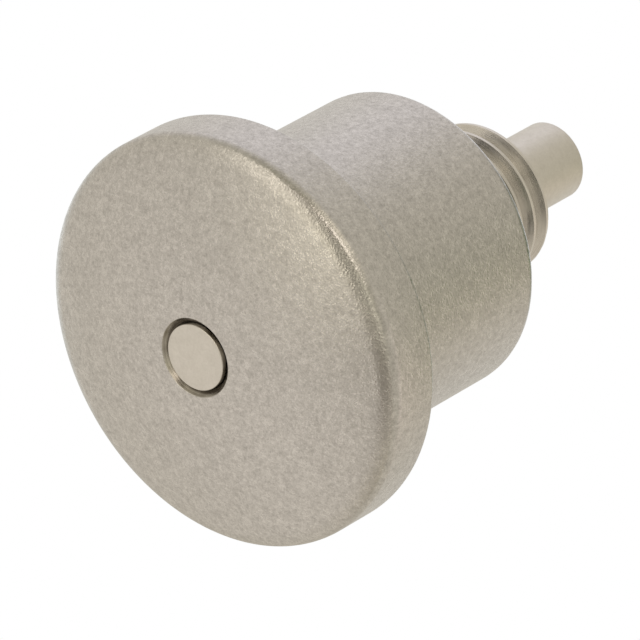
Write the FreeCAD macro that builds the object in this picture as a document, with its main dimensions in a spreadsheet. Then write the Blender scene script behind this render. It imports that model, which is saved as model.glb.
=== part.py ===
import FreeCAD, Part
import math
import os

import Sketcher

# A small indexing plunger in stainless steel, with a mushroom pull knob.
# The plunger's axis is the Y axis: the locking pin points along +Y and the knob is towards -Y.
# The origin is on the axis, in the plane where the guide sleeve seats on what it is screwed into.

doc = FreeCAD.newDocument("indexing_plunger")

SIZES = [
    # knob: a domed head and a skirt, turned in one
    ("knob_diameter", 21.0),
    ("dome_radius", 28.0),
    ("head_height", 4.95),
    ("crown_thickness", 4.47),
    ("rim_front_round", 0.7),
    ("rim_rear_chamfer", 0.15),
    ("neck_chamfer", 0.25),
    ("skirt_wall", 1.15),
    ("skirt_end_chamfer", 0.5),
    ("skirt_lead", 0.2),
    ("skirt_gap", 0.45),
    ("mouth_gap", 0.275),
    ("mouth_depth", 0.6),
    # guide sleeve: threaded nose, hexagon under the skirt, barrel with the spring chamber
    ("thread_diameter", 7.9),
    ("thread_length", 5.8),
    ("thread_chamfer", 0.35),
    ("relief_diameter", 6.7),
    ("relief_width", 0.9),
    ("hex_across_flats", 11.0),
    ("hex_height", 4.5),
    ("hex_chamfer_angle", 30.0),
    ("hex_clearance", 0.17),
    ("seat_width", 1.15),
    ("seat_recess_depth", 0.2),
    ("seat_recess_clearance", 0.1),
    ("barrel_diameter", 9.2),
    ("barrel_chamfer", 0.3),
    ("bore_lead", 0.2),
    ("shoulder_depth", 0.5),
    # locking pin: nose, collar and tail, turned in one
    ("pin_diameter", 4.0),
    ("pin_projection", 5.4),
    ("pin_chamfer", 0.3),
    ("pin_clearance", 0.02),
    ("grease_groove_inset", 0.1),
    ("grease_groove_width", 1.2),
    ("grease_groove_depth", 0.2),
    ("collar_step", 0.8),
    ("collar_thickness", 1.2),
    ("collar_clearance", 0.1),
    ("tail_diameter", 3.5),
    ("tail_end_chamfer", 0.15),
    # closing bush, pressed into the barrel's rear end
    ("bush_step", 0.4),
    ("bush_thickness", 1.4),
    ("bush_chamfer", 0.15),
    ("tail_clearance", 0.05),
    ("rear_clearance", 0.5),
    # compression spring, at its fitted length
    ("spring_length", 8.9),
    ("wire_diameter", 0.45),
    ("spring_clearance", 0.25),
    ("active_turns", 4.0),
    ("closed_turns", 1.0),
    ("closed_gap", 0.02),
    ("wire_sides", 6),
]

sheet = doc.addObject("Spreadsheet::Sheet", "Sizes")
for row, (alias, value) in enumerate(SIZES, start=1):
    sheet.set(f"A{row}", alias)
    sheet.set(f"B{row}", str(value))
    sheet.setAlias(f"B{row}", alias)
doc.recompute()


# Radii and places along the axis, as expressions of the sheet's cells.
# A place is counted from the seat plane: towards the knob where its name ends in BACK.
KNOB_R = "Sizes.knob_diameter / 2"
THREAD_R = "Sizes.thread_diameter / 2"
RELIEF_R = "Sizes.relief_diameter / 2"
RELIEF_END = f"Sizes.relief_width + {THREAD_R} - {RELIEF_R}"
RECESS_R = f"{THREAD_R} + Sizes.seat_recess_clearance"
SEAT_R = f"{RECESS_R} + Sizes.seat_width"
BARREL_R = "Sizes.barrel_diameter / 2"
CORNER_R = "Sizes.hex_across_flats / 2 / cos(30 deg)"
BLANK_R = f"{CORNER_R} + Sizes.hex_clearance"
HEX_BEVEL = f"({CORNER_R} - ({SEAT_R})) * tan(Sizes.hex_chamfer_angle * 1 deg)"
PIN_R = "Sizes.pin_diameter / 2"
GROOVE_R = f"{PIN_R} - Sizes.grease_groove_depth"
GROOVE_FRONT = "Sizes.thread_length - Sizes.grease_groove_inset"
BORE_R = f"{PIN_R} + Sizes.pin_clearance"
COLLAR_R = f"{PIN_R} + Sizes.collar_step"
CHAMBER_R = f"{COLLAR_R} + Sizes.collar_clearance"
BUSH_R = f"{CHAMBER_R} + Sizes.bush_step"
TAIL_R = "Sizes.tail_diameter / 2"
BUSH_BORE_R = f"{TAIL_R} + Sizes.tail_clearance"
CAVITY_R = f"{CORNER_R} + Sizes.hex_clearance"
SKIRT_R = f"{CAVITY_R} + Sizes.skirt_wall"
MOUTH_R = f"{TAIL_R} + Sizes.mouth_gap"
TIP = "Sizes.thread_length + Sizes.pin_projection"
COLLAR_BACK = "Sizes.shoulder_depth + Sizes.collar_thickness"
BUSH_BACK = f"{COLLAR_BACK} + Sizes.spring_length"
BARREL_BACK = f"{BUSH_BACK} + Sizes.bush_thickness"
FLOOR_BACK = f"{BARREL_BACK} + Sizes.rear_clearance"
APEX_BACK = f"{FLOOR_BACK} + Sizes.crown_thickness"
HEAD_BACK = f"{APEX_BACK} - Sizes.head_height"
MOUTH_BACK = f"{APEX_BACK} - Sizes.dome_radius + sqrt(Sizes.dome_radius ^ 2 - ({MOUTH_R}) ^ 2)"

START, END, CENTRE = range(1, 4)
FLAT_AXIS, UPRIGHT_AXIS = range(-1, -3, -1)
ORIGIN = (FLAT_AXIS, START)


def value_of(expression):
    """The number that an expression of the sheet's cells gives."""
    number = sheet.evalExpression(expression)
    return getattr(number, "Value", number)


def plane_of(body, role):
    return next(f for f in body.Origin.OriginFeatures if f.Role == role)


def new_sketch(body, name, role="XY_Plane"):
    sketch = body.newObject("Sketcher::SketchObject", name)
    sketch.AttachmentSupport = [(plane_of(body, role), "")]
    sketch.MapMode = "FlatFace"
    return sketch


def bind(sketch, constraint, expression):
    index = sketch.addConstraint(constraint)
    sketch.setExpression(f"Constraints[{index}]", expression)


def place(sketch, line, radius, height):
    """Ties a line's start point to a radius and to a height along +Y, or a depth if it starts with '-'."""
    if radius == "0":
        sketch.addConstraint(Sketcher.Constraint("PointOnObject", line, START, UPRIGHT_AXIS))
    else:
        bind(sketch, Sketcher.Constraint("DistanceX", *ORIGIN, line, START, value_of(radius)), radius)
    if height == "0":
        sketch.addConstraint(Sketcher.Constraint("PointOnObject", line, START, FLAT_AXIS))
    elif height.startswith("-"):
        depth = height[1:]
        bind(sketch, Sketcher.Constraint("DistanceY", line, START, *ORIGIN, value_of(depth)), depth)
    else:
        bind(sketch, Sketcher.Constraint("DistanceY", *ORIGIN, line, START, value_of(height)), height)


def at(radius, height):
    sign = -1 if height.startswith("-") else 1
    return FreeCAD.Vector(value_of(radius), sign * value_of(height.lstrip("-")), 0)


def closed_section(body, name, corners):
    """A half section, drawn as straight lines through its corners, each corner tied to the sheet."""
    sketch = new_sketch(body, name)
    points = [at(*corner) for corner in corners]
    count = len(points)
    for i in range(count):
        sketch.addGeometry(Part.LineSegment(points[i], points[(i + 1) % count]), False)
    for i in range(count):
        sketch.addConstraint(Sketcher.Constraint("Coincident", i, END, (i + 1) % count, START))
    for i, corner in enumerate(corners):
        place(sketch, i, *corner)
    return sketch


def spin(body, kind, name, sketch):
    """Revolves a half section round the plunger's axis, as a Revolution or a Groove."""
    feature = body.newObject(f"PartDesign::{kind}", name)
    feature.Profile = sketch
    feature.ReferenceAxis = (sketch, ["V_Axis"])
    feature.Angle = 360
    doc.recompute()
    return feature


def new_body(label):
    body = doc.addObject("PartDesign::Body", label)
    body.Label = label
    return body


def make_knob():
    """The pull knob: a shallow dome on a thin disc, with a long skirt that covers the guide's hexagon."""
    body = new_body("knob")
    outline = new_sketch(body, "knob_outline")
    apex = at("0", f"-{APEX_BACK}")
    dome_r, round_r = value_of("Sizes.dome_radius"), value_of("Sizes.rim_front_round")
    dome_centre = apex + FreeCAD.Vector(0, dome_r, 0)
    round_x = value_of(KNOB_R) - round_r
    round_y = dome_centre.y - math.sqrt((dome_r - round_r) ** 2 - round_x ** 2)
    round_centre = FreeCAD.Vector(round_x, round_y, 0)
    rim_front = round_centre + FreeCAD.Vector(round_r, 0, 0)
    corners = [
        (KNOB_R, f"-({HEAD_BACK} + Sizes.rim_rear_chamfer)"),
        (f"{KNOB_R} - Sizes.rim_rear_chamfer", f"-({HEAD_BACK})"),
        (f"{SKIRT_R} + Sizes.neck_chamfer", f"-({HEAD_BACK})"),
        (SKIRT_R, f"-({HEAD_BACK} - Sizes.neck_chamfer)"),
        (SKIRT_R, "-(Sizes.skirt_gap + Sizes.skirt_end_chamfer)"),
        (f"{SKIRT_R} - Sizes.skirt_end_chamfer", "-Sizes.skirt_gap"),
        ("0", "-Sizes.skirt_gap"),
    ]
    points = [rim_front] + [at(*corner) for corner in corners] + [apex]
    for first, second in zip(points, points[1:]):
        outline.addGeometry(Part.LineSegment(first, second), False)
    last_line = len(corners)

    def add_arc(centre, radius, start, end):
        circle = Part.Circle(centre, FreeCAD.Vector(0, 0, 1), radius)
        arc = Part.ArcOfCircle(circle, circle.parameter(start), circle.parameter(end))
        return outline.addGeometry(arc, False)

    dome_end = dome_centre + (round_centre - dome_centre) * (dome_r / (dome_r - round_r))
    dome = add_arc(dome_centre, dome_r, apex, dome_end)
    edge = add_arc(round_centre, round_r, dome_end, rim_front)
    for i in range(last_line):
        outline.addConstraint(Sketcher.Constraint("Coincident", i, END, i + 1, START))
    outline.addConstraint(Sketcher.Constraint("Coincident", last_line, END, dome, START))
    outline.addConstraint(Sketcher.Constraint("Tangent", dome, END, edge, START))
    outline.addConstraint(Sketcher.Constraint("Tangent", edge, END, 0, START))
    outline.addConstraint(Sketcher.Constraint("PointOnObject", dome, CENTRE, UPRIGHT_AXIS))
    outline.addConstraint(Sketcher.Constraint("PointOnObject", dome, START, UPRIGHT_AXIS))
    bind(outline, Sketcher.Constraint("Radius", dome, dome_r), "Sizes.dome_radius")
    bind(outline, Sketcher.Constraint("Radius", edge, round_r), "Sizes.rim_front_round")
    bind(outline, Sketcher.Constraint("DistanceY", dome, START, *ORIGIN, -apex.y), APEX_BACK)
    bind(outline, Sketcher.Constraint("DistanceX", *ORIGIN, 0, START, rim_front.x), KNOB_R)
    for line, corner in enumerate(corners, start=1):
        place(outline, line, *corner)
    spin(body, "Revolution", "knob_turning", outline)

    # the skirt's cavity, the seat of the tail and the recess round the tail's end, all bored on the lathe
    spin(body, "Groove", "knob_boring", closed_section(body, "knob_bores", [
        ("0", "-Sizes.skirt_gap"),
        (f"{CAVITY_R} + Sizes.skirt_lead", "-Sizes.skirt_gap"),
        (CAVITY_R, "-(Sizes.skirt_gap + Sizes.skirt_lead)"),
        (CAVITY_R, f"-({FLOOR_BACK})"),
        (TAIL_R, f"-({FLOOR_BACK})"),
        (TAIL_R, f"-({MOUTH_BACK} - Sizes.mouth_depth)"),
        (MOUTH_R, f"-({MOUTH_BACK} - Sizes.mouth_depth)"),
        (MOUTH_R, f"-({APEX_BACK} + Sizes.mouth_gap)"),
        ("0", f"-({APEX_BACK} + Sizes.mouth_gap)"),
    ]))
    return body


def make_guide_sleeve():
    """The fixed sleeve: it is screwed in by its hexagon, guides the pin and holds the spring."""
    body = new_body("guide_sleeve")
    spin(body, "Revolution", "sleeve_turning", closed_section(body, "sleeve_section", [
        (BORE_R, "Sizes.thread_length - Sizes.bore_lead"),
        (f"{BORE_R} + Sizes.bore_lead", "Sizes.thread_length"),
        (f"{THREAD_R} - Sizes.thread_chamfer", "Sizes.thread_length"),
        (THREAD_R, "Sizes.thread_length - Sizes.thread_chamfer"),
        (THREAD_R, RELIEF_END),
        (RELIEF_R, "Sizes.relief_width"),
        (RELIEF_R, "-Sizes.seat_recess_depth"),
        (RECESS_R, "-Sizes.seat_recess_depth"),
        (RECESS_R, "0"),
        (SEAT_R, "0"),
        (CORNER_R, f"-({HEX_BEVEL})"),
        (CORNER_R, f"-(Sizes.hex_height - {HEX_BEVEL})"),
        (SEAT_R, "-Sizes.hex_height"),
        (BARREL_R, "-Sizes.hex_height"),
        (BARREL_R, f"-({BARREL_BACK} - Sizes.barrel_chamfer)"),
        (f"{BARREL_R} - Sizes.barrel_chamfer", f"-({BARREL_BACK})"),
        (BUSH_R, f"-({BARREL_BACK})"),
        (BUSH_R, f"-({BUSH_BACK})"),
        (CHAMBER_R, f"-({BUSH_BACK})"),
        (CHAMBER_R, "-Sizes.shoulder_depth"),
        (BORE_R, "-Sizes.shoulder_depth"),
    ]))

    # the six flats: all that lies outside the hexagon is milled off the round blank
    flats = new_sketch(body, "hexagon", "XZ_Plane")
    corner_r, blank_r = value_of(CORNER_R), value_of(BLANK_R)
    sides = 6
    turn = 2 * math.pi / sides
    first_tip = FreeCAD.Vector(corner_r, 0, 0)
    upward = FreeCAD.Vector(0, 0, 1)
    tips = [FreeCAD.Rotation(upward, math.degrees(turn * i)).multVec(first_tip) for i in range(sides)]
    for i in range(sides):
        flats.addGeometry(Part.LineSegment(tips[i], tips[(i + 1) % sides]), False)
    through_tips = flats.addGeometry(Part.Circle(FreeCAD.Vector(), upward, corner_r), True)
    outside = flats.addGeometry(Part.Circle(FreeCAD.Vector(), upward, blank_r), False)
    for i in range(sides):
        flats.addConstraint(Sketcher.Constraint("Coincident", i, END, (i + 1) % sides, START))
        flats.addConstraint(Sketcher.Constraint("PointOnObject", i, START, through_tips))
    for i in range(1, sides):
        flats.addConstraint(Sketcher.Constraint("Equal", 0, i))
    flats.addConstraint(Sketcher.Constraint("PointOnObject", 0, START, FLAT_AXIS))
    for circle in (through_tips, outside):
        flats.addConstraint(Sketcher.Constraint("Coincident", circle, CENTRE, *ORIGIN))
    bind(flats, Sketcher.Constraint("Radius", through_tips, corner_r), CORNER_R)
    bind(flats, Sketcher.Constraint("Radius", outside, blank_r), BLANK_R)
    milling = body.newObject("PartDesign::Pocket", "hex_milling")
    milling.Profile = flats
    milling.Reversed = True
    milling.setExpression("Length", "Sizes.hex_height")
    doc.recompute()
    return body


def make_plunger_pin():
    """The locking pin: its collar stops on the sleeve's shoulder, and its tail is pressed into the knob."""
    body = new_body("plunger_pin")
    spin(body, "Revolution", "pin_turning", closed_section(body, "pin_section", [
        ("0", TIP),
        (f"{PIN_R} - Sizes.pin_chamfer", TIP),
        (PIN_R, f"{TIP} - Sizes.pin_chamfer"),
        (PIN_R, GROOVE_FRONT),
        (GROOVE_R, f"{GROOVE_FRONT} - Sizes.grease_groove_depth"),
        (GROOVE_R, f"{GROOVE_FRONT} - Sizes.grease_groove_width + Sizes.grease_groove_depth"),
        (PIN_R, f"{GROOVE_FRONT} - Sizes.grease_groove_width"),
        (PIN_R, "-Sizes.shoulder_depth"),
        (COLLAR_R, "-Sizes.shoulder_depth"),
        (COLLAR_R, f"-({COLLAR_BACK})"),
        (TAIL_R, f"-({COLLAR_BACK})"),
        (TAIL_R, f"-({MOUTH_BACK} - Sizes.tail_end_chamfer)"),
        (f"{TAIL_R} - Sizes.tail_end_chamfer", f"-({MOUTH_BACK})"),
        ("0", f"-({MOUTH_BACK})"),
    ]))
    return body


def make_closing_bush():
    """The ring that closes the spring chamber and steadies the tail."""
    body = new_body("closing_bush")
    spin(body, "Revolution", "bush_turning", closed_section(body, "bush_section", [
        (BUSH_BORE_R, f"-({BUSH_BACK})"),
        (f"{BUSH_R} - Sizes.bush_chamfer", f"-({BUSH_BACK})"),
        (BUSH_R, f"-({BUSH_BACK} + Sizes.bush_chamfer)"),
        (BUSH_R, f"-({BARREL_BACK})"),
        (f"{BUSH_BORE_R} + Sizes.bush_chamfer", f"-({BARREL_BACK})"),
        (BUSH_BORE_R, f"-({BARREL_BACK} - Sizes.bush_chamfer)"),
    ]))
    return body


def make_spring():
    """A compression spring with closed and ground ends, between collar and bush.

    The wire has a few flat sides here, to keep the coil light. The real wire is round.
    """
    wire_r = value_of("Sizes.wire_diameter") / 2
    coil_r = value_of(f"{CHAMBER_R} - Sizes.spring_clearance") - wire_r
    length = value_of("Sizes.spring_length")
    active, closed = value_of("Sizes.active_turns"), value_of("Sizes.closed_turns")
    closed_pitch = 2 * wire_r + value_of("Sizes.closed_gap")
    # the pitch grows over half a turn at each end of the active coils
    ramp = 0.5
    open_pitch = (length - (2 * closed + ramp) * closed_pitch) / (active - ramp)
    turns = active + 2 * closed
    steps_a_turn = 8

    def pitch_at(turn):
        inside = min(turn - closed, turns - closed - turn)
        share = min(max(inside / ramp, 0), 1)
        return closed_pitch + (open_pitch - closed_pitch) * share

    points = []
    height = 0.0
    for step in range(round(turns * steps_a_turn) + 1):
        angle = 2 * math.pi * step / steps_a_turn
        points.append(FreeCAD.Vector(coil_r * math.cos(angle), height, coil_r * math.sin(angle)))
        height += pitch_at((step + 0.5) / steps_a_turn) / steps_a_turn
    path = Part.BSplineCurve()
    path.interpolate(points)
    start = path.value(path.FirstParameter)
    along_wire = path.tangent(path.FirstParameter)[0]
    wire_sides = round(value_of("Sizes.wire_sides"))
    outward = FreeCAD.Vector(wire_r, 0, 0)
    section = [start + FreeCAD.Rotation(along_wire, 360 * (side + 0.5) / wire_sides).multVec(outward)
               for side in range(wire_sides)]
    axis = FreeCAD.Vector(0, 1, 0)
    winding = Part.BRepOffsetAPI.MakePipeShell(Part.Wire([path.toShape()]))
    winding.setBiNormalMode(axis)
    winding.add(Part.makePolygon(section + section[:1]))
    winding.build()
    winding.makeSolid()
    between_ends = Part.makeCylinder(coil_r + 2 * wire_r, length, FreeCAD.Vector(), axis)
    spring = doc.addObject("Part::Feature", "spring")
    spring.Label = "spring"
    spring.Shape = winding.shape().common(between_ends).Solids[0]
    spring.Placement = FreeCAD.Placement(FreeCAD.Vector(0, -value_of(BUSH_BACK), 0), FreeCAD.Rotation())
    return spring


pieces = [make_knob(), make_guide_sleeve(), make_plunger_pin(), make_closing_bush(), make_spring()]
doc.recompute()

for item in doc.Objects:
    if "Invalid" in item.State or "Error" in item.State:
        raise RuntimeError(f"{item.Name} did not build: {item.State}")

os.makedirs("parts", exist_ok=True)
for piece in pieces:
    shape = piece.Shape
    if shape.isNull() or not shape.isValid() or len(shape.Solids) != 1:
        raise RuntimeError(f"{piece.Label} is not one valid solid")
    shape.exportStep(f"parts/{piece.Label}.step")
    middle = shape.Solids[0].CenterOfMass
    print(f"{piece.Label}: {shape.Volume:.2f} mm3, centre at y {middle.y:.2f}")
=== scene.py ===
# %% [markdown]
# # A small indexing plunger
# The object is a spring-loaded locking pin in a threaded sleeve, drawn back with a mushroom knob.
# Every piece is turned on a lathe from stainless steel, so nearly every form here is a half section
# swept round one axis. The interest lies in the edges and in the finish: a matt, shot-blasted knob
# beside bright turned and ground surfaces.
#
# The plunger's axis is Y. The locking pin points along +Y and the knob is towards -Y.

import math

import bmesh
import bpy
from mathutils import Matrix, Vector


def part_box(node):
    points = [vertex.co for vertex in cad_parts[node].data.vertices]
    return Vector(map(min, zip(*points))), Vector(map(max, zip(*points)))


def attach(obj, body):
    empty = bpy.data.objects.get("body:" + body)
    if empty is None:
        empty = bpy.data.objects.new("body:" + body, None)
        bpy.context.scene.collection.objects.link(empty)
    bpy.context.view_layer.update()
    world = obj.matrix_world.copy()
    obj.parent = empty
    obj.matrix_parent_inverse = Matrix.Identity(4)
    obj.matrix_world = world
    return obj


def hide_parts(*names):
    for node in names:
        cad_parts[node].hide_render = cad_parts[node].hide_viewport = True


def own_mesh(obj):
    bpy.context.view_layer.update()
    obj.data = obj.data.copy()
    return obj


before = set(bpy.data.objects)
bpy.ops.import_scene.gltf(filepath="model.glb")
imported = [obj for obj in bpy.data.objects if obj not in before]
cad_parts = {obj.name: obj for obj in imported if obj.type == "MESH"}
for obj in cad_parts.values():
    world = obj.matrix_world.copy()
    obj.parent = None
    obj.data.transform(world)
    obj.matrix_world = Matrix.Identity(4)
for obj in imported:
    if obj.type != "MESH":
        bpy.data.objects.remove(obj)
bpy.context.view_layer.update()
MM = 0.001
print("nodes:", sorted(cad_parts))

# %% [markdown]
# ## Sizes
# The overall places come from the frame, so a new pack moves everything with it. The small edge
# sizes, which no box can tell, are written down here once, in metres.

# %% Read the driving sizes from the frame
knob_low, knob_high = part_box("knob")
sleeve_low, sleeve_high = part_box("guide_sleeve")
pin_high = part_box("plunger_pin")[1]
bush_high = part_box("closing_bush")[1]
spring_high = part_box("spring")[1]

KNOB_RADIUS = knob_high.z
MOUTH_Y = knob_low.y
SKIRT_END_Y = knob_high.y
THREAD_END_Y = sleeve_high.y
BARREL_END_Y = sleeve_low.y
HEX_CORNER_RADIUS = sleeve_high.x
TIP_Y = pin_high.y
COLLAR_RADIUS = pin_high.x
BUSH_RADIUS = bush_high.x
BUSH_FRONT_Y = bush_high.y
SPRING_FRONT_Y = spring_high.y
for label, value in (("knob radius", KNOB_RADIUS), ("mouth", MOUTH_Y), ("tip", TIP_Y),
                     ("hexagon corner", HEX_CORNER_RADIUS), ("collar", COLLAR_RADIUS)):
    print(f"{label}: {value / MM:.2f} mm")

# %% Name the small sizes
# the knob's head and skirt
DOME_RADIUS = 28.0 * MM
RIM_FRONT_ROUND = 0.6 * MM
RIM_EASE_RADIUS = 2.5 * MM
RIM_EASE_TURN = math.radians(18)
HEAD_BACK_Y = MOUTH_Y + 4.88 * MM
SKIRT_RADIUS = 7.67 * MM
CAVITY_RADIUS = 6.52 * MM
CAVITY_FLOOR_Y = BARREL_END_Y - 0.5 * MM

# the tail's end and the hole round it
TAIL_RADIUS = 1.75 * MM
STUD_RADIUS = TAIL_RADIUS - 0.07 * MM
SLIT_RADIUS = STUD_RADIUS + 0.05 * MM
MOUTH_RADIUS = TAIL_RADIUS + 0.275 * MM
MOUTH_BEVEL_DEPTH = 0.32 * MM
MOUTH_DEPTH = 0.6 * MM

# the locking pin in its sleeve
PIN_RADIUS = 2.0 * MM
BORE_RADIUS = PIN_RADIUS + 0.02 * MM
CHAMBER_RADIUS = COLLAR_RADIUS + 0.1 * MM
SHOULDER_Y = -0.5 * MM
COLLAR_THICKNESS = 1.2 * MM
TAIL_BORE_RADIUS = TAIL_RADIUS + 0.05 * MM

# the sleeve's thread, hexagon and barrel
CREST_RADIUS = 3.95 * MM
PITCH = 1.0 * MM
ROOT_RADIUS = CREST_RADIUS - 0.563 * PITCH
CREST_WIDTH = 0.18 * PITCH
THREAD_END_RADIUS = CREST_RADIUS - 0.3 * MM
RELIEF_RADIUS = 3.35 * MM
RELIEF_END_Y = 0.9 * MM
SEAT_RADIUS = 5.2 * MM
HEX_HEIGHT = 4.5 * MM
BARREL_RADIUS = 4.6 * MM

# the spring's wire, its clearance in the chamber and the gap between its closed turns
WIRE_RADIUS = 0.225 * MM
SPRING_CLEARANCE = 0.25 * MM
CLOSED_GAP = 0.02 * MM
for label, value in (("crests", CREST_RADIUS), ("roots", ROOT_RADIUS)):
    print(f"thread over its {label}: {2 * value / MM:.2f} mm")

# %% [markdown]
# ## The lathe
# A turned piece is a section spun round the axis. The helper below takes the section as a list of
# corners and rounds each by its own radius, because no real edge is perfectly sharp: the small
# rounds are what catches the light. A Screw modifier could spin it too. Here the section may also
# depend on the angle, so the hexagon, milled on the lathe blank, is made with the same few lines.

# %% Round the corners of a section
TURN_STEPS = 240
ROUND_STEPS = 6


def arc(centre, radius, first, last, steps):
    """Points of an arc in the (radius, y) plane. Angles are in degrees: 0 is outward, 90 is +Y."""
    points = []
    for i in range(steps + 1):
        angle = math.radians(first + (last - first) * i / steps)
        points.append((centre[0] + radius * math.cos(angle), centre[1] + radius * math.sin(angle)))
    return points


def soften(corners, closed=True):
    """Turns (radius, y, rounding) corners into points, with an arc at each corner that has a rounding."""
    points = []
    count = len(corners)
    for i, (r, y, rounding) in enumerate(corners):
        here = Vector((r, y))
        if rounding <= 0 or (not closed and i in (0, count - 1)):
            points.append((r, y))
            continue
        before = Vector(corners[i - 1][:2]) - here
        after = Vector(corners[(i + 1) % count][:2]) - here
        half = before.angle(after) / 2
        reach = min(rounding / math.tan(half), before.length * 0.49, after.length * 0.49)
        start, stop = before.normalized() * reach, after.normalized() * reach
        for step in range(ROUND_STEPS + 1):
            share = step / ROUND_STEPS
            # a quadratic curve through the corner's two tangent points follows the arc closely
            bend = here + start * (1 - share) ** 2 + stop * share ** 2
            points.append((bend.x, bend.y))
    return points


def spin(bm, section_at, closed=True, steps=TURN_STEPS):
    """Adds the surface of a section spun round the Y axis. A point on the axis is one vertex."""
    sections = [section_at(2 * math.pi * k / steps) for k in range(steps)]
    count = len(sections[0])
    poles = {i: bm.verts.new((0, sections[0][i][1], 0)) for i in range(count) if sections[0][i][0] < 1e-9}
    rings = []
    for k, section in enumerate(sections):
        angle = 2 * math.pi * k / steps
        rings.append([poles.get(i) or bm.verts.new((r * math.cos(angle), y, r * math.sin(angle)))
                      for i, (r, y) in enumerate(section)])
    spans = range(count) if closed else range(count - 1)
    for k in range(steps):
        one, two = rings[k], rings[(k + 1) % steps]
        for i in spans:
            j = (i + 1) % count
            corners = list(dict.fromkeys((one[i], one[j], two[j], two[i])))
            if len(corners) > 2:
                bm.faces.new(corners)


SHARP_ANGLE = math.radians(32)


def finish_mesh(bm, name):
    """Points the faces outwards, smooths them apart from real edges, and makes an object of them."""
    bmesh.ops.recalc_face_normals(bm, faces=bm.faces)
    mesh = bpy.data.meshes.new(name)
    bm.to_mesh(mesh)
    bm.free()
    mesh.polygons.foreach_set("use_smooth", [True] * len(mesh.polygons))
    mesh.set_sharp_from_angle(angle=SHARP_ANGLE)
    obj = bpy.data.objects.new(name, mesh)
    bpy.context.scene.collection.objects.link(obj)
    print(f"{name}: {len(mesh.polygons)} faces")
    return obj


def turned_piece(name, points, closed=True):
    """A piece that is round all over: one section, the same at every angle."""
    bm = bmesh.new()
    spin(bm, lambda angle: points, closed)
    return finish_mesh(bm, name)


# %% [markdown]
# ## Building node trees
# Both the shaders and the repeated forms are node trees. Two small helpers keep the trees readable:
# one adds a node and sets its inputs, whether by a number or by another node's output, and one does
# a sum on one line.

# %% Helpers for node trees
def add_node(tree, kind, settings=None, inputs=None):
    """Adds a node. An input given as a socket is linked, and any other value is set."""
    node = tree.nodes.new(kind)
    for key, value in (settings or {}).items():
        setattr(node, key, value)
    for key, value in (inputs or {}).items():
        socket = node.inputs[key]
        if isinstance(value, bpy.types.NodeSocket):
            tree.links.new(value, socket)
        else:
            socket.default_value = value
    return node


def sums(tree):
    """A function that does one step of arithmetic in a tree: do("ADD", a, b)."""
    def do(operation, *values, clamp=False):
        settings = {"operation": operation, "use_clamp": clamp}
        return add_node(tree, "ShaderNodeMath", settings, dict(enumerate(values))).outputs[0]
    return do


def add_inputs(tree, sockets):
    for name, (kind, default) in sockets.items():
        socket = tree.interface.new_socket(name, in_out="INPUT", socket_type=kind)
        if default is not None:
            socket.default_value = default


def set_inputs(modifier, values):
    """Sets a modifier's inputs by name, through each socket's identifier."""
    sockets = {s.name: s.identifier for s in modifier.node_group.interface.items_tree
               if s.item_type == "SOCKET" and s.in_out == "INPUT"}
    for name, value in values.items():
        modifier[sockets[name]] = value


# %% [markdown]
# ## Shared finishes
# Two effects are used by several metals, so each is a group that is built once.
#
# *Blasted grain* is the fine crater pattern left by shot blasting: about a tenth of a millimetre
# across, with a coarser mottling over it. *Tool marks* are the rings that a lathe tool leaves: they
# depend on the distance from the axis and the place along it, but not on the angle, so they run
# round the piece by themselves. Both read the object's own coordinates, so nothing is unwrapped.

# %% The blasted grain
def blasted_grain_group():
    tree = bpy.data.node_groups.new("blasted_grain", "ShaderNodeTree")
    add_inputs(tree, {
        "Crater size": ("NodeSocketFloat", 0.1 * MM), "Mottle size": ("NodeSocketFloat", 0.5 * MM)})
    for name in ("Height", "Tone"):
        tree.interface.new_socket(name, in_out="OUTPUT", socket_type="NodeSocketFloat")
    ins, outs = tree.nodes.new("NodeGroupInput"), tree.nodes.new("NodeGroupOutput")
    do = sums(tree)
    where = add_node(tree, "ShaderNodeTexCoord").outputs["Object"]
    scale = do("DIVIDE", 1.0, ins.outputs["Crater size"])
    craters = add_node(tree, "ShaderNodeTexVoronoi", {"feature": "F1"}, {
        "Vector": where, "Scale": scale, "Randomness": 1.0})
    fine = add_node(tree, "ShaderNodeTexNoise", inputs={
        "Vector": where, "Scale": do("MULTIPLY", scale, 1.3), "Detail": 2.0, "Roughness": 0.7})
    patches = add_node(tree, "ShaderNodeTexNoise", inputs={
        "Vector": where, "Scale": do("MULTIPLY", scale, 0.45), "Detail": 2.0, "Roughness": 0.6})
    mottle = add_node(tree, "ShaderNodeTexNoise", inputs={
        "Vector": where, "Scale": do("DIVIDE", 1.0, ins.outputs["Mottle size"]), "Detail": 2.0})
    pits = do("MULTIPLY", craters.outputs["Distance"], 0.5)
    tree.links.new(do("ADD", pits, do("MULTIPLY", fine.outputs[0], 0.5)), outs.inputs["Height"])
    grain = do("ADD", do("MULTIPLY", fine.outputs[0], 0.45), do("MULTIPLY", patches.outputs[0], 0.4))
    tree.links.new(do("ADD", grain, do("MULTIPLY", mottle.outputs[0], 0.15)), outs.inputs["Tone"])
    return tree


BLASTED_GRAIN = blasted_grain_group()
print("group:", BLASTED_GRAIN.name)

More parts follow.
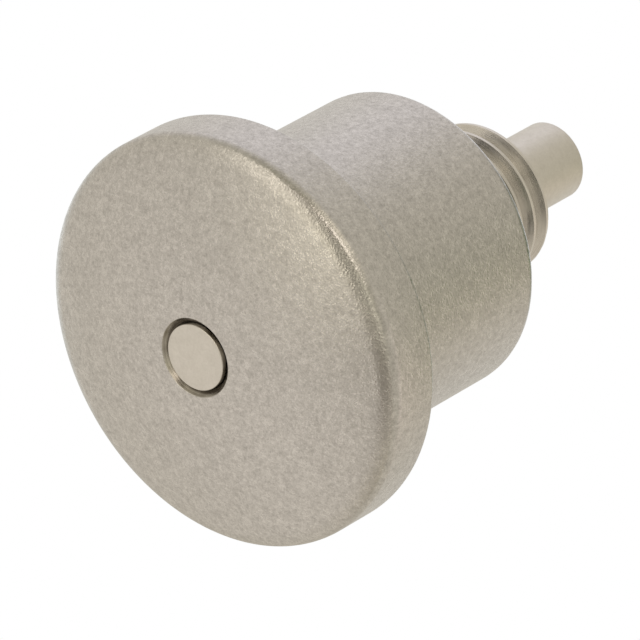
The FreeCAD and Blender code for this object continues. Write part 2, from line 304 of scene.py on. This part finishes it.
# %% The tool marks
def tool_marks_group():
    tree = bpy.data.node_groups.new("tool_marks", "ShaderNodeTree")
    add_inputs(tree, {"Feed": ("NodeSocketFloat", 0.08 * MM), "Waver": ("NodeSocketFloat", 0.4)})
    for name in ("Height", "Tone"):
        tree.interface.new_socket(name, in_out="OUTPUT", socket_type="NodeSocketFloat")
    ins, outs = tree.nodes.new("NodeGroupInput"), tree.nodes.new("NodeGroupOutput")
    do = sums(tree)
    where = add_node(tree, "ShaderNodeTexCoord").outputs["Object"]
    split = add_node(tree, "ShaderNodeSeparateXYZ", inputs={0: where}).outputs
    x_squared, z_squared = (do("MULTIPLY", split[axis], split[axis]) for axis in "XZ")
    from_axis = do("SQRT", do("ADD", x_squared, z_squared))
    rings = add_node(tree, "ShaderNodeCombineXYZ", inputs={0: from_axis, 1: split["Y"], 2: 0.0}).outputs[0]
    marks = add_node(tree, "ShaderNodeTexNoise", inputs={
        "Vector": rings, "Scale": do("DIVIDE", 1.0, ins.outputs["Feed"]), "Detail": 3.0, "Roughness": 0.65})
    broken = add_node(tree, "ShaderNodeTexNoise", inputs={
        "Vector": where, "Scale": 1 / (1.2 * MM), "Detail": 2.0})
    held = do("MULTIPLY_ADD", do("SUBTRACT", broken.outputs[0], 0.5), ins.outputs["Waver"], 1.0)
    height = do("MULTIPLY", marks.outputs[0], held)
    tree.links.new(height, outs.inputs["Height"])
    tone = do("ADD", do("MULTIPLY", height, 0.6), do("MULTIPLY", broken.outputs[0], 0.4))
    tree.links.new(tone, outs.inputs["Tone"])
    return tree


TOOL_MARKS = tool_marks_group()
print("group:", TOOL_MARKS.name)

# %% [markdown]
# ## The metals
# Each metal is one Principled shader. Its colour and gloss vary a little by the group's tone, and
# its surface by the group's height. What stays the same all over, such as Metallic, is set on the
# shader itself.
#
# There are five. The knob is blasted, the sleeve is left as turned, the pin is ground, and the
# spring's wire is drawn. The fifth is for the bevel round the tail's end and the stud's side: its
# tool marks are the real finish, and its dark colour is painted shade for the deep recess there.

# %% Make a metal from a finish
def steel(name, group, sizes, shades, gloss, depth):
    """A metal. shades and gloss are (low, high) pairs, and depth is the bump's depth in metres."""
    material = bpy.data.materials.new(name)
    material.use_nodes = True
    tree = material.node_tree
    tree.nodes.clear()
    finish = add_node(tree, "ShaderNodeGroup", {"node_tree": group}, sizes).outputs
    tone = {"Value": finish["Tone"], "From Min": 0.35, "From Max": 0.65}
    spread = add_node(tree, "ShaderNodeMapRange", inputs=tone)
    colour = add_node(tree, "ShaderNodeMix", {"data_type": "RGBA"})
    tree.links.new(spread.outputs[0], colour.inputs[0])
    colour.inputs[6].default_value = (*shades[0], 1)
    colour.inputs[7].default_value = (*shades[1], 1)
    rough = add_node(tree, "ShaderNodeMapRange", inputs={**tone, "To Min": gloss[0], "To Max": gloss[1]})
    bump = add_node(tree, "ShaderNodeBump", inputs={
        "Height": finish["Height"], "Strength": 1.0, "Distance": depth})
    shader = add_node(tree, "ShaderNodeBsdfPrincipled", inputs={
        "Base Color": colour.outputs[2], "Metallic": 1.0, "Roughness": rough.outputs[0],
        "Normal": bump.outputs[0]})
    add_node(tree, "ShaderNodeOutputMaterial", inputs={"Surface": shader.outputs[0]})
    return material


blasted_steel = steel("blasted_steel", BLASTED_GRAIN, {"Crater size": 0.11 * MM, "Mottle size": 0.7 * MM},
                      ((0.445, 0.439, 0.434), (0.73, 0.722, 0.72)), (0.33, 0.25), 0.017 * MM)
turned_steel = steel("turned_steel", TOOL_MARKS, {"Feed": 0.07 * MM, "Waver": 0.5},
                     ((0.60, 0.585, 0.56), (0.77, 0.755, 0.73)), (0.22, 0.34), 0.0022 * MM)
ground_steel = steel("ground_steel", BLASTED_GRAIN, {"Crater size": 0.16 * MM, "Mottle size": 0.9 * MM},
                     ((0.655, 0.64, 0.61), (0.735, 0.72, 0.69)), (0.38, 0.32), 0.004 * MM)
spring_wire = steel("spring_wire", TOOL_MARKS, {"Feed": 0.05 * MM, "Waver": 0.8},
                    ((0.50, 0.49, 0.47), (0.62, 0.61, 0.59)), (0.22, 0.32), 0.0010 * MM)
# painted shade: this metal's dark colour stands for the shade in the recess round the tail's end; its tool
# marks are the real finish
shaded_groove_steel = steel("shaded_groove_steel", TOOL_MARKS, {"Feed": 0.06 * MM, "Waver": 1.2},
                     ((0.24, 0.22, 0.19), (0.58, 0.56, 0.53)), (0.20, 0.34), 0.0060 * MM)
print("metals:", [m.name for m in (blasted_steel, turned_steel, ground_steel, spring_wire, shaded_groove_steel)])


# %% Dress a piece
def dress(obj, material, body, slot, *nodes):
    """Gives a finished piece its metal, its body, and the solids that it stands for."""
    obj.data.materials.clear()
    obj.data.materials.append(material)
    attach(obj, body)
    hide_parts(*nodes)
    return obj


def paint_shade_ring(obj, material, inner, outer, low, high):
    """Gives a second metal to the faces between two radii round the axis and two heights along it: here the
    painted shade of the recess round the stud.
    """
    obj.data.materials.append(material)
    painted = 0
    for face in obj.data.polygons:
        centre = face.center
        if inner < math.hypot(centre.x, centre.z) < outer and low < centre.y < high:
            face.material_index = 1
            painted += 1
    print(f"{obj.name}: {painted} faces in {material.name}")


# %% [markdown]
# ## The knob
# The knob is one turned piece: a shallow dome on a thin disc, with a skirt that hides the sleeve's
# hexagon. Polishing has eased the dome into the rim, so the edge is two arcs and not one: a wide arc
# that turns 18 degrees, and then a tight round. The wide one draws out the bright and dark lines
# that run along the rim. The blasting has softened all the other edges.
#
# The hole in the middle has a bevelled mouth. At the bevel's foot a slit is left round the tail,
# and it shows as a thin dark line. The bevel and the slit get a darker metal, which is painted shade.
# The section is drawn from the mouth outwards, round the rim, down the skirt and back through the cavity.

# %% Draw and spin the knob
def knob_section():
    dome_centre_y = MOUTH_Y + math.sqrt(DOME_RADIUS ** 2 - MOUTH_RADIUS ** 2)
    # the dome's slope where the easing starts follows from this: dome, easing and round together
    # have to reach the knob's radius
    across = DOME_RADIUS - RIM_EASE_RADIUS
    ahead = RIM_EASE_RADIUS - RIM_FRONT_ROUND
    level = across + ahead * math.cos(RIM_EASE_TURN)
    aside = ahead * math.sin(RIM_EASE_TURN)
    round_r = KNOB_RADIUS - RIM_FRONT_ROUND
    leaves = math.asin(round_r / math.hypot(level, aside)) - math.atan2(aside, level)
    meets = leaves + RIM_EASE_TURN
    ease_centre = (across * math.sin(leaves), dome_centre_y - across * math.cos(leaves))
    round_y = ease_centre[1] - ahead * math.cos(meets)
    lip_r = MOUTH_RADIUS + 0.14 * MM
    lip_y = dome_centre_y - math.sqrt(DOME_RADIUS ** 2 - lip_r ** 2)
    mouth = math.degrees(math.asin(lip_r / DOME_RADIUS))
    leaves, meets = math.degrees(leaves), math.degrees(meets)
    dome = arc((0, dome_centre_y), DOME_RADIUS, mouth - 90, leaves - 90, 40)
    ease = arc(ease_centre, RIM_EASE_RADIUS, leaves - 90, meets - 90, 8)
    rim = arc((round_r, round_y), RIM_FRONT_ROUND, meets - 90, 0, 20)
    lead = 0.2 * MM
    back = soften([
        (KNOB_RADIUS, round_y, 0),
        (KNOB_RADIUS, HEAD_BACK_Y, 0.15 * MM),
        (SKIRT_RADIUS, HEAD_BACK_Y, 0.3 * MM),
        (SKIRT_RADIUS, SKIRT_END_Y, 0.65 * MM),
        (CAVITY_RADIUS + lead, SKIRT_END_Y, 0.08 * MM),
        (CAVITY_RADIUS, SKIRT_END_Y - lead, 0.08 * MM),
        (CAVITY_RADIUS, CAVITY_FLOOR_Y, 0.2 * MM),
        (TAIL_RADIUS, CAVITY_FLOOR_Y, 0),
        (TAIL_RADIUS, MOUTH_Y + MOUTH_DEPTH, 0),
        (SLIT_RADIUS, MOUTH_Y + MOUTH_DEPTH, 0),
        (SLIT_RADIUS, MOUTH_Y + MOUTH_BEVEL_DEPTH, 0),
        (MOUTH_RADIUS, MOUTH_Y, 0.06 * MM),
        (lip_r, lip_y, 0),
    ], closed=False)
    return dome[1:-1] + ease[:-1] + rim + back[1:]


knob = dress(turned_piece("pull_knob", knob_section()), blasted_steel, "plunger", "blasted_steel", "knob")
# painted shade: the bevel and the slit round the stud get the darker metal, standing for the shade in the
# recess
SHADE_END_Y = MOUTH_Y + MOUTH_DEPTH + 0.1 * MM
paint_shade_ring(knob, shaded_groove_steel, STUD_RADIUS, MOUTH_RADIUS, MOUTH_Y + 0.02 * MM, SHADE_END_Y)

# %% [markdown]
# ## The locking pin
# The pin, its collar and its tail are turned in one. The pin's nose is ground to its size and has a
# small chamfer. The tail passes through the spring and the closing bush, and is pressed into the
# knob. Its end is a trifle thinner, level with the dome and very slightly crowned, and shows as a
# small stud in the middle of the knob. The stud's side down in the slit gets a darker metal, which
# is painted shade.

# %% Draw and spin the pin
def pin_section():
    chamfer, groove, edge = 0.3 * MM, 0.2 * MM, 0.03 * MM
    groove_front = THREAD_END_Y - 0.1 * MM
    groove_back = groove_front - 1.2 * MM
    collar_back = SHOULDER_Y - COLLAR_THICKNESS
    step_y = MOUTH_Y + MOUTH_DEPTH + 0.02 * MM
    return soften([
        (0, TIP_Y, 0),
        (PIN_RADIUS - chamfer, TIP_Y, 0.06 * MM),
        (PIN_RADIUS, TIP_Y - chamfer, 0.06 * MM),
        (PIN_RADIUS, groove_front, edge),
        (PIN_RADIUS - groove, groove_front - groove, edge),
        (PIN_RADIUS - groove, groove_back + groove, edge),
        (PIN_RADIUS, groove_back, edge),
        (PIN_RADIUS, SHOULDER_Y, edge),
        (COLLAR_RADIUS, SHOULDER_Y, edge),
        (COLLAR_RADIUS, collar_back, edge),
        (TAIL_RADIUS, collar_back, edge),
        (TAIL_RADIUS, step_y, 0),
        (STUD_RADIUS, step_y - 0.07 * MM, 0),
        (STUD_RADIUS, MOUTH_Y + 0.03 * MM, 0.06 * MM),
        (STUD_RADIUS - 0.55 * MM, MOUTH_Y, 5 * MM),
        (0, MOUTH_Y, 0),
    ], closed=False)


pin = dress(turned_piece("locking_pin", pin_section(), closed=False), ground_steel, "plunger", "pin_steel",
            "plunger_pin")
# painted shade: the stud's side inside the slit gets the darker metal, standing for the shade in the gap
paint_shade_ring(pin, shaded_groove_steel, STUD_RADIUS - 0.02 * MM, TAIL_RADIUS, MOUTH_Y + 0.06 * MM, SHADE_END_Y)

# %% [markdown]
# ## The guide sleeve
# The sleeve is turned, threaded and milled. Its body below is a lathe section left open where the
# thread goes. Only the hexagon depends on the angle: a flat is further out at its corners, and the
# 30 degree bevel of the blank starts where each flat cuts it, which gives the curved edge that
# every hexagon nut has.

# %% Spin the sleeve's body
HEX_FLAT_RADIUS = HEX_CORNER_RADIUS * math.cos(math.radians(30))


def sleeve_section(angle):
    off_flat = math.radians(math.degrees(angle) % 60 - 30)
    flat = HEX_FLAT_RADIUS / math.cos(off_flat)
    bevel = (flat - SEAT_RADIUS) * math.tan(math.radians(30))
    recess_r, recess_y = CREST_RADIUS + 0.1 * MM, -0.2 * MM
    lead, barrel_bevel, edge = 0.2 * MM, 0.3 * MM, 0.02 * MM
    return soften([
        (RELIEF_RADIUS, RELIEF_END_Y, 0),
        (RELIEF_RADIUS, recess_y, edge),
        (recess_r, recess_y, edge),
        (recess_r, 0, edge),
        (SEAT_RADIUS, 0, edge),
        (flat, -bevel, edge),
        (flat, bevel - HEX_HEIGHT, edge),
        (SEAT_RADIUS, -HEX_HEIGHT, edge),
        (BARREL_RADIUS, -HEX_HEIGHT, edge),
        (BARREL_RADIUS, BARREL_END_Y + barrel_bevel, edge),
        (BARREL_RADIUS - barrel_bevel, BARREL_END_Y, edge),
        (BUSH_RADIUS, BARREL_END_Y, edge),
        (BUSH_RADIUS, BUSH_FRONT_Y, 0),
        (CHAMBER_RADIUS, BUSH_FRONT_Y, edge),
        (CHAMBER_RADIUS, SHOULDER_Y, edge),
        (BORE_RADIUS, SHOULDER_Y, edge),
        (BORE_RADIUS, THREAD_END_Y - lead, edge),
        (BORE_RADIUS + lead, THREAD_END_Y, edge),
        (ROOT_RADIUS, THREAD_END_Y, 0),
    ], closed=False)


sleeve_bm = bmesh.new()
spin(sleeve_bm, sleeve_section, closed=False)
sleeve_body = finish_mesh(sleeve_bm, "sleeve_body")

# %% [markdown]
# ## The thread, by Geometry Nodes
# A thread is a rule more than a shape, so a node tree makes it. It could be cut out with a boolean,
# but its run-out at either end would leave slivers. Here a flat grid is the unrolled surface: across
# it runs the turn, and up it run the rows of the tooth. Each row rises by one pitch in one turn, so
# the two sides of the grid meet one pitch apart and close the helix. The radius is the tooth's own,
# cut back by the cone of the chamfer at one end and of the relief at the other, and the height is
# held between the two ends, which makes the thread run out as a real one does.
#
# The last step welds the thread to the sleeve's body, and the count of open edges is printed.

# %% Build the thread's tree
WELD_DISTANCE = 0.0002 * MM


def thread_tree():
    tree = bpy.data.node_groups.new("screw_thread", "GeometryNodeTree")
    add_inputs(tree, {
        "Geometry": ("NodeSocketGeometry", None), "Turn steps": ("NodeSocketInt", 240),
        "Rows": ("NodeSocketInt", 100), "Rows a pitch": ("NodeSocketInt", 24),
        "Pitch": ("NodeSocketFloat", PITCH), "Crest width": ("NodeSocketFloat", 0.0),
        "Crest radius": ("NodeSocketFloat", 0.0), "Root radius": ("NodeSocketFloat", 0.0),
        "Start": ("NodeSocketFloat", 0.0), "End": ("NodeSocketFloat", 0.0),
        "Start radius": ("NodeSocketFloat", 0.0), "End radius": ("NodeSocketFloat", 0.0),
        "Phase": ("NodeSocketFloat", 0.0), "Material": ("NodeSocketMaterial", None)})
    tree.interface.new_socket("Geometry", in_out="OUTPUT", socket_type="NodeSocketGeometry")
    given = tree.nodes.new("NodeGroupInput").outputs
    do = sums(tree)
    grid = add_node(tree, "GeometryNodeMeshGrid", inputs={
        "Size X": 1.0, "Size Y": 1.0,
        "Vertices X": do("ADD", given["Turn steps"], 1.0), "Vertices Y": given["Rows"]})
    spot = tree.nodes.new("GeometryNodeInputPosition").outputs[0]
    flat = add_node(tree, "ShaderNodeSeparateXYZ", inputs={0: spot}).outputs
    turn = do("ADD", flat["X"], 0.5)
    rows_up = do("MULTIPLY", do("ADD", flat["Y"], 0.5), do("SUBTRACT", given["Rows"], 1.0))
    row = do("DIVIDE", rows_up, given["Rows a pitch"])
    raw = do("MULTIPLY_ADD", do("ADD", row, do("SUBTRACT", turn, 1.0)), given["Pitch"], given["Start"])
    height = do("MINIMUM", do("MAXIMUM", raw, given["Start"]), given["End"])
    above = do("SUBTRACT", height, given["Start"])
    # the tooth is read at the height that is kept, so that it stands still past either end
    climbed = do("ADD", do("DIVIDE", above, given["Pitch"]), do("SUBTRACT", 1.0, turn))
    from_crest = do("ABSOLUTE", do("SUBTRACT", do("FRACT", do("ADD", climbed, given["Phase"])), 0.5))
    half_crest = do("MULTIPLY", given["Crest width"], 0.5)
    down_flank = do("SUBTRACT", do("MULTIPLY", from_crest, given["Pitch"]), half_crest)
    drop = do("MULTIPLY", do("MAXIMUM", down_flank, 0.0), math.tan(math.radians(60)))
    tooth = do("MAXIMUM", do("SUBTRACT", given["Crest radius"], drop), given["Root radius"])
    relief = do("ADD", given["Start radius"], above)
    cone = do("ADD", given["End radius"], do("SUBTRACT", given["End"], raw))
    chamfer = do("MAXIMUM", cone, given["Root radius"])
    radius = do("MINIMUM", do("MINIMUM", tooth, relief), chamfer)
    angle = do("MULTIPLY", turn, 2 * math.pi)
    place = add_node(tree, "ShaderNodeCombineXYZ", inputs={
        0: do("MULTIPLY", radius, do("SINE", angle)), 1: height,
        2: do("MULTIPLY", radius, do("COSINE", angle))})
    wound = add_node(tree, "GeometryNodeSetPosition", inputs={
        "Geometry": grid.outputs["Mesh"], "Position": place.outputs[0]})
    joined = tree.nodes.new("GeometryNodeJoinGeometry")
    tree.links.new(wound.outputs[0], joined.inputs[0])
    tree.links.new(given["Geometry"], joined.inputs[0])
    welded = add_node(tree, "GeometryNodeMergeByDistance", inputs={
        0: joined.outputs[0], "Distance": WELD_DISTANCE})
    real = add_node(tree, "GeometryNodeRealizeInstances", inputs={0: welded.outputs[0]})
    painted = add_node(tree, "GeometryNodeSetMaterial", inputs={
        0: real.outputs[0], "Material": given["Material"]})
    add_node(tree, "NodeGroupOutput", inputs={0: painted.outputs[0]})
    return tree


def apply_tree(obj, tree, values, name):
    """Runs a tree on an object, and makes the result a plain mesh object of its own."""
    modifier = obj.modifiers.new(tree.name, "NODES")
    modifier.node_group = tree
    set_inputs(modifier, values)
    graph = bpy.context.evaluated_depsgraph_get()
    mesh = bpy.data.meshes.new_from_object(obj.evaluated_get(graph))
    obj.modifiers.remove(modifier)
    bpy.data.objects.remove(obj)
    bm = bmesh.new()
    bm.from_mesh(mesh)
    open_edges = sum(edge.is_boundary for edge in bm.edges)
    print(f"{name}: {open_edges} open edges")
    return finish_mesh(bm, name)


# %% Wind the thread onto the sleeve
ROWS_A_PITCH = 24
THREAD_PHASE = 0.2
# one turn more than the thread's length, and enough to carry the end's bevel in to the root
thread_turns = (THREAD_END_Y - RELIEF_END_Y + THREAD_END_RADIUS - ROOT_RADIUS) / PITCH + 1
sleeve = apply_tree(sleeve_body, thread_tree(), {
    "Turn steps": TURN_STEPS,
    "Rows": math.ceil(thread_turns) * ROWS_A_PITCH + 1,
    "Rows a pitch": ROWS_A_PITCH,
    "Pitch": PITCH,
    "Crest radius": CREST_RADIUS,
    "Root radius": ROOT_RADIUS,
    "Crest width": CREST_WIDTH,
    "Start": RELIEF_END_Y,
    "End": THREAD_END_Y,
    "Start radius": RELIEF_RADIUS,
    "End radius": THREAD_END_RADIUS,
    "Phase": THREAD_PHASE,
    "Material": turned_steel,
}, "threaded_sleeve")
dress(sleeve, turned_steel, "guide", "turned_steel", "guide_sleeve")

# %% [markdown]
# ## The closing bush
# A plain ring, pressed into the rear of the sleeve. It closes the spring chamber and steadies the
# tail. Its bore has a small bevel on the side where the tail goes in.

# %% Spin the bush
def bush_section():
    bevel, edge = 0.15 * MM, 0.02 * MM
    return soften([
        (TAIL_BORE_RADIUS, BUSH_FRONT_Y, edge),
        (BUSH_RADIUS - bevel, BUSH_FRONT_Y, edge),
        (BUSH_RADIUS, BUSH_FRONT_Y - bevel, edge),
        (BUSH_RADIUS, BARREL_END_Y, edge),
        (TAIL_BORE_RADIUS + bevel, BARREL_END_Y, edge),
        (TAIL_BORE_RADIUS, BARREL_END_Y + bevel, edge),
    ])


bush = dress(turned_piece("bush_ring", bush_section()), turned_steel, "guide", "turned_steel",
             "closing_bush")

# %% [markdown]
# ## The spring, by Geometry Nodes
# A compression spring is a wire on a helix whose pitch opens up after the closed end turns, so an
# even helix won't do. The tree lays a line of points round the axis, adds up the pitch from point to
# point to get the height, sweeps the round wire along it, and presses the two ends flat, as grinding
# leaves them.
#
# Pulling the knob presses the spring between the bush and the pin's collar.

# %% Build the spring's tree
def spring_tree():
    tree = bpy.data.node_groups.new("coil_spring", "GeometryNodeTree")
    add_inputs(tree, {
        "Geometry": ("NodeSocketGeometry", None), "Turns": ("NodeSocketFloat", 6.0),
        "Closed turns": ("NodeSocketFloat", 1.0), "Steps a turn": ("NodeSocketInt", 40),
        "Closed pitch": ("NodeSocketFloat", 0.0), "Open pitch": ("NodeSocketFloat", 0.0),
        "Coil radius": ("NodeSocketFloat", 0.0), "Wire radius": ("NodeSocketFloat", 0.0),
        "Foot": ("NodeSocketFloat", 0.0), "Length": ("NodeSocketFloat", 0.0),
        "Material": ("NodeSocketMaterial", None)})
    tree.interface.new_socket("Geometry", in_out="OUTPUT", socket_type="NodeSocketGeometry")
    given = tree.nodes.new("NodeGroupInput").outputs
    do = sums(tree)
    count = do("ADD", do("MULTIPLY", given["Turns"], given["Steps a turn"]), 1.0)
    line = add_node(tree, "GeometryNodeMeshLine", inputs={"Count": count})
    turn = do("DIVIDE", tree.nodes.new("GeometryNodeInputIndex").outputs[0], given["Steps a turn"])
    from_end = do("MINIMUM", turn, do("SUBTRACT", given["Turns"], turn))
    pitch = add_node(tree, "ShaderNodeMapRange", inputs={
        "Value": do("SUBTRACT", from_end, given["Closed turns"]), "From Min": 0.0, "From Max": 0.5,
        "To Min": given["Closed pitch"], "To Max": given["Open pitch"]}).outputs[0]
    rise = add_node(tree, "GeometryNodeAccumulateField", inputs={
        0: do("DIVIDE", pitch, given["Steps a turn"])})
    angle = do("MULTIPLY", turn, 2 * math.pi)
    place = add_node(tree, "ShaderNodeCombineXYZ", inputs={
        0: do("MULTIPLY", given["Coil radius"], do("COSINE", angle)),
        1: do("ADD", given["Foot"], rise.outputs["Trailing"]),
        2: do("MULTIPLY", given["Coil radius"], do("SINE", angle))})
    wound = add_node(tree, "GeometryNodeSetPosition", inputs={
        "Geometry": line.outputs[0], "Position": place.outputs[0]})
    curve = add_node(tree, "GeometryNodeMeshToCurve", inputs={0: wound.outputs[0]})
    circle = add_node(tree, "GeometryNodeCurvePrimitiveCircle", inputs={
        "Resolution": 20, "Radius": given["Wire radius"]})
    swept = add_node(tree, "GeometryNodeCurveToMesh", inputs={
        "Curve": curve.outputs[0], "Profile Curve": circle.outputs[0], "Fill Caps": True})
    spot = tree.nodes.new("GeometryNodeInputPosition").outputs[0]
    split = add_node(tree, "ShaderNodeSeparateXYZ", inputs={0: spot}).outputs
    top = do("ADD", given["Foot"], given["Length"])
    level = do("MINIMUM", do("MAXIMUM", split["Y"], given["Foot"]), top)
    pressed = add_node(tree, "ShaderNodeCombineXYZ", inputs={0: split["X"], 1: level, 2: split["Z"]})
    ground = add_node(tree, "GeometryNodeSetPosition", inputs={
        "Geometry": swept.outputs[0], "Position": pressed.outputs[0]})
    real = add_node(tree, "GeometryNodeRealizeInstances", inputs={0: ground.outputs[0]})
    painted = add_node(tree, "GeometryNodeSetMaterial", inputs={
        0: real.outputs[0], "Material": given["Material"]})
    add_node(tree, "NodeGroupOutput", inputs={0: painted.outputs[0]})
    return tree


# %% Wind the spring
ACTIVE_TURNS, CLOSED_TURNS, RAMP_TURNS = 4.0, 1.0, 0.5
COIL_STEPS = 48
SPRING_FOOT_Y = BUSH_FRONT_Y
spring_length = SPRING_FRONT_Y - SPRING_FOOT_Y
closed_pitch = 2 * WIRE_RADIUS + CLOSED_GAP
closed_length = (2 * CLOSED_TURNS + RAMP_TURNS) * closed_pitch
open_pitch = (spring_length - closed_length) / (ACTIVE_TURNS - RAMP_TURNS)
coil_blank = bpy.data.objects.new("coil_blank", bpy.data.meshes.new("coil_blank"))
bpy.context.scene.collection.objects.link(coil_blank)
spring = apply_tree(coil_blank, spring_tree(), {
    "Turns": ACTIVE_TURNS + 2 * CLOSED_TURNS,
    "Closed turns": CLOSED_TURNS,
    "Steps a turn": COIL_STEPS,
    "Closed pitch": closed_pitch,
    "Open pitch": open_pitch,
    "Coil radius": CHAMBER_RADIUS - SPRING_CLEARANCE - WIRE_RADIUS,
    "Wire radius": WIRE_RADIUS,
    "Foot": SPRING_FOOT_Y,
    "Length": spring_length,
    "Material": spring_wire,
}, "return_spring")
dress(spring, spring_wire, "coil", "spring_wire", "spring")
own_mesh(spring)

# %% [markdown]
# ## Camera
# The picture is taken with a long lens from the knob's side, a little above. The view is set by its
# azimuth and elevation. The aim is given from the middle of the knob's mouth, so that the object
# sits in the picture where it does in the photograph.

# %% Place the camera
AZIMUTH, ELEVATION = math.radians(38.62), math.radians(26.56)
DISTANCE = 378 * MM
LENS, SENSOR = 450.8, 36.0
AIM_RIGHT, AIM_UP = 5.91 * MM, 1.79 * MM

back = Vector((math.sin(AZIMUTH) * math.cos(ELEVATION), -math.cos(AZIMUTH) * math.cos(ELEVATION),
               math.sin(ELEVATION)))
right = Vector((math.cos(AZIMUTH), math.sin(AZIMUTH), 0))
up = back.cross(right)
aim = Vector((0, MOUTH_Y, 0)) + right * AIM_RIGHT + up * AIM_UP
camera_data = bpy.data.cameras.new("camera")
camera_data.lens, camera_data.sensor_width = LENS, SENSOR
camera_data.clip_start, camera_data.clip_end = 10 * MM, 20000 * MM
camera = bpy.data.objects.new("camera", camera_data)
bpy.context.scene.collection.objects.link(camera)
turned = Matrix((right, up, back)).transposed().to_4x4()
camera.matrix_world = Matrix.Translation(aim + back * DISTANCE) @ turned
bpy.context.scene.camera = camera
print("camera at", [round(v / MM, 1) for v in camera.location])

# %% [markdown]
# ## Light and floor
# The photograph is a studio shot on pure white. A metal shows what surrounds it, so the light is
# built as the surroundings, and not from lamps: an even, warm room, and soft fields laid over it.
# Each field has a direction, a tightness and a strength, and fades on every side of its middle. A
# bright field stands for a soft lamp or a white wall. A field with a strength below nought darkens
# the room, and stands for a gap between the lamps. The dark line along the rim shows such a gap.
#
# The camera sees plain white in place of all this. The floor is a white sheet that only the camera
# sees, so that it throws nothing back, and it is clear from below.

# %% Build the surroundings
# no direction is darker than this
DARKEST = 0.03


def surroundings():
    world = bpy.data.worlds.new("studio")
    world.use_nodes = True
    bpy.context.scene.world = world
    tree = world.node_tree
    tree.nodes.clear()
    do = sums(tree)
    facing = add_node(tree, "ShaderNodeTexCoord").outputs["Generated"]
    total = add_node(tree, "ShaderNodeCombineXYZ", inputs=dict(enumerate(ROOM_SHADE))).outputs[0]
    for direction, tightness, strength in LIGHT_FIELDS:
        toward = add_node(tree, "ShaderNodeVectorMath", {"operation": "DOT_PRODUCT"}, {
            0: facing, 1: Vector(direction).normalized()}).outputs["Value"]
        share = do("EXPONENT", do("MULTIPLY_ADD", toward, tightness, -tightness))
        light = add_node(tree, "ShaderNodeVectorMath", {"operation": "SCALE"}, {
            0: Vector(strength), "Scale": share}).outputs[0]
        total = add_node(tree, "ShaderNodeVectorMath", {"operation": "ADD"}, {
            0: total, 1: light}).outputs[0]
    floored = add_node(tree, "ShaderNodeVectorMath", {"operation": "MAXIMUM"}, {
        0: total, 1: (DARKEST,) * 3})
    lit = add_node(tree, "ShaderNodeBackground", inputs={"Color": floored.outputs[0], "Strength": 1.0})
    seen = add_node(tree, "ShaderNodeBackground", inputs={"Color": (1, 1, 1, 1), "Strength": 1.0})
    ray = add_node(tree, "ShaderNodeLightPath").outputs["Is Camera Ray"]
    both = add_node(tree, "ShaderNodeMixShader", inputs={0: ray, 1: lit.outputs[0], 2: seen.outputs[0]})
    add_node(tree, "ShaderNodeOutputWorld", inputs={"Surface": both.outputs[0]})


ROOM_SHADE = (0.643, 0.589, 0.484)
# the direction of each field's middle, its tightness, and its strength in red, green and blue
LIGHT_FIELDS = [
    ((-0.31, 0.92, -0.24), 12.4, (0.66, 0.70, 0.82)),
    ((-0.35, -0.83, -0.45), 2.4, (0.20, 0.18, 0.19)),
    ((0.42, -0.63, 0.66), 40.4, (3.36, 2.99, 2.59)),
    ((-0.14, -0.81, 0.56), 19.4, (1.77, 1.60, 1.38)),
    ((0.15, -0.74, 0.66), 49.4, (-1.70, -1.58, -1.31)),
    ((0.34, -0.44, -0.83), 21.2, (-0.21, -0.21, -0.22)),
    ((-0.86, 0.37, -0.35), 36.3, (0.5, 0.6, 0.7)),
    ((-0.56, 0.70, -0.45), 16.0, (-0.22, -0.21, -0.22)),
    ((0.59, 0.72, -0.37), 14.1, (0.35, 0.27, 0.26)),
    ((0.35, 0.91, -0.23), 22.3, (-0.79, -0.63, -0.67)),
    ((0.04, -0.99, 0.15), 50.5, (1.92, 1.74, 1.35)),
    ((0.26, -0.94, 0.19), 62.0, (-2.50, -2.32, -1.80)),
    ((0.37, -0.87, -0.34), 65.4, (-0.90, -0.89, -0.80)),
    ((0.20, -0.80, 0.57), 5.3, (-0.97, -0.88, -0.82)),
    ((0.54, -0.06, 0.84), 78.7, (1.58, 1.38, 1.08)),
    ((-0.48, 0.64, 0.60), 7.5, (0.26, 0.26, 0.34)),
    ((0.49, -0.86, 0.16), 56.5, (1.62, 1.50, 1.20)),
    ((0.08, 0.99, 0.06), 22.0, (-0.45, -0.42, -0.38)),
]
surroundings()
print("fields of light:", sum(min(strength) > 0 for _, _, strength in LIGHT_FIELDS), "bright,",
      sum(max(strength) < 0 for _, _, strength in LIGHT_FIELDS), "dark")

# %% Lay the floor
def floor_material():
    material = bpy.data.materials.new("white_floor")
    material.use_nodes = True
    tree = material.node_tree
    tree.nodes.clear()
    white = add_node(tree, "ShaderNodeEmission", inputs={"Color": (1, 1, 1, 1), "Strength": 1.0})
    clear = tree.nodes.new("ShaderNodeBsdfTransparent")
    underside = tree.nodes.new("ShaderNodeNewGeometry").outputs["Backfacing"]
    sheet = add_node(tree, "ShaderNodeMixShader", inputs={
        0: underside, 1: white.outputs[0], 2: clear.outputs[0]})
    add_node(tree, "ShaderNodeOutputMaterial", inputs={"Surface": sheet.outputs[0]})
    return material


FLOOR_HALF, FLOOR_DROP = 1000 * MM, 6 * MM
floor_z = knob_low.z - FLOOR_DROP
floor_bm = bmesh.new()
floor_bm.faces.new([floor_bm.verts.new((x * FLOOR_HALF, y * FLOOR_HALF, floor_z))
                    for x, y in ((-1, -1), (1, -1), (1, 1), (-1, 1))])
floor = finish_mesh(floor_bm, "floor")
floor.data.materials.append(floor_material())
floor.visible_diffuse = floor.visible_glossy = floor.visible_shadow = False

bpy.context.scene.view_settings.view_transform = "Standard"
